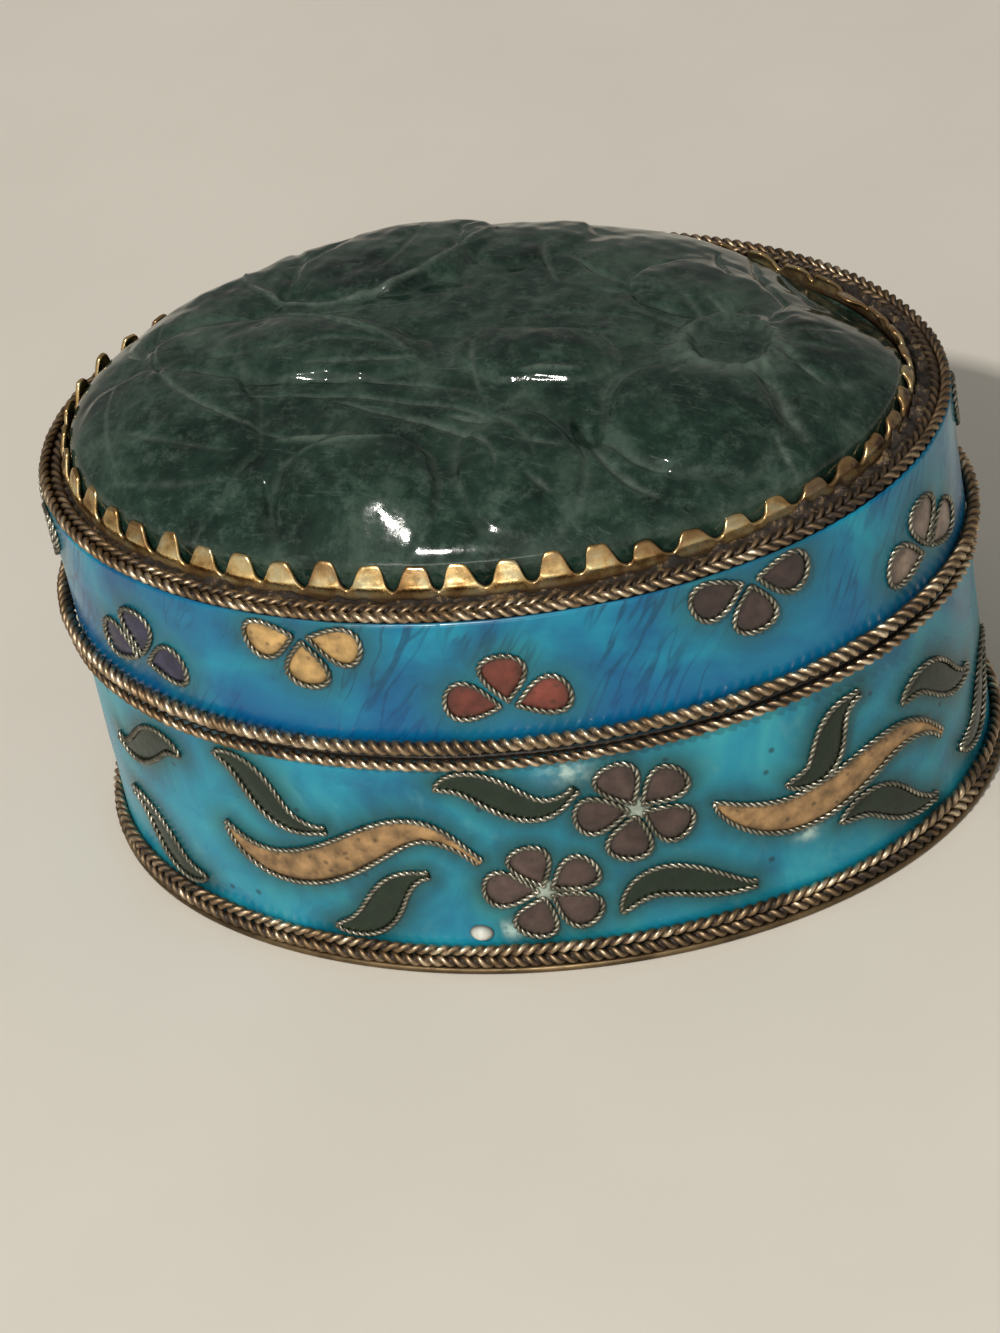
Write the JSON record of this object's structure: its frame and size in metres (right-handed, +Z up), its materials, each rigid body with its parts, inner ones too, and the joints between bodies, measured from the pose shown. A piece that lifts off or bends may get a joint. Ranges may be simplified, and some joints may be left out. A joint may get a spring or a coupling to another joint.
{
  "type": "jade trinket box",
  "caption": "Oval enamelled metal trinket box with twisted-wire edges and a lift-off lid that holds a carved jade stone in a toothed bezel.",
  "frame": {"origin": "middle of the box's footprint, on the surface that it stands on", "axes": "+Z up, +X along the oval's length, -Y towards the viewer of the picture"},
  "size_m": [0.0616, 0.0454, 0.0356],
  "materials": {
    "gilt_metal": "gilt metal, dulled",
    "bright_gilt": "polished gilt strip",
    "twisted_wire": "antique gilt twisted wire",
    "lid_enamel": "fired blue enamel, glossy",
    "base_enamel": "fired turquoise enamel, glossy",
    "jade": "dark green jade, polished"
  },
  "bodies": {
    "root": {"base_floor": "gilt_metal", "base_wall": "gilt_metal", "base_enamel": "base_enamel", "foot_rope_lower": "twisted_wire", "foot_rope_upper": "twisted_wire", "base_rim_rope": "twisted_wire", "lid_wall": "gilt_metal", "lid_top": "gilt_metal", "lid_enamel": "lid_enamel", "lid_rim_rope": "twisted_wire", "lid_top_rope_outer": "twisted_wire", "lid_top_rope_inner": "twisted_wire", "bezel": "bright_gilt", "jade_stone": "jade", "lid_flower_1": "twisted_wire", "lid_flower_2": "twisted_wire", "lid_flower_3": "twisted_wire", "lid_flower_4": "twisted_wire", "lid_flower_5": "twisted_wire", "lid_flower_6": "twisted_wire", "lid_flower_7": "twisted_wire", "lid_flower_8": "twisted_wire", "lid_flower_9": "twisted_wire", "lid_flower_10": "twisted_wire", "lid_flower_11": "twisted_wire", "lid_flower_12": "twisted_wire", "base_flower_1_1": "twisted_wire", "base_flower_1_2": "twisted_wire", "base_flower_2_1": "twisted_wire", "base_flower_2_2": "twisted_wire", "base_scroll_1_1": "twisted_wire", "base_scroll_1_2": "twisted_wire", "base_scroll_2_1": "twisted_wire", "base_scroll_2_2": "twisted_wire", "base_leaf_1_1": "twisted_wire", "base_leaf_1_2": "twisted_wire", "base_leaf_1_3": "twisted_wire", "base_leaf_1_4": "twisted_wire", "base_leaf_1_5": "twisted_wire", "base_leaf_1_6": "twisted_wire", "base_leaf_1_7": "twisted_wire", "base_leaf_1_8": "twisted_wire", "base_leaf_1_9": "twisted_wire", "base_leaf_1_10": "twisted_wire", "base_leaf_2_1": "twisted_wire", "base_leaf_2_2": "twisted_wire", "base_leaf_2_3": "twisted_wire", "base_leaf_2_4": "twisted_wire", "base_leaf_2_5": "twisted_wire", "base_leaf_2_6": "twisted_wire", "base_leaf_2_7": "twisted_wire", "base_leaf_2_8": "twisted_wire", "base_leaf_2_9": "twisted_wire", "base_leaf_2_10": "twisted_wire"}
  },
  "joints": []
}
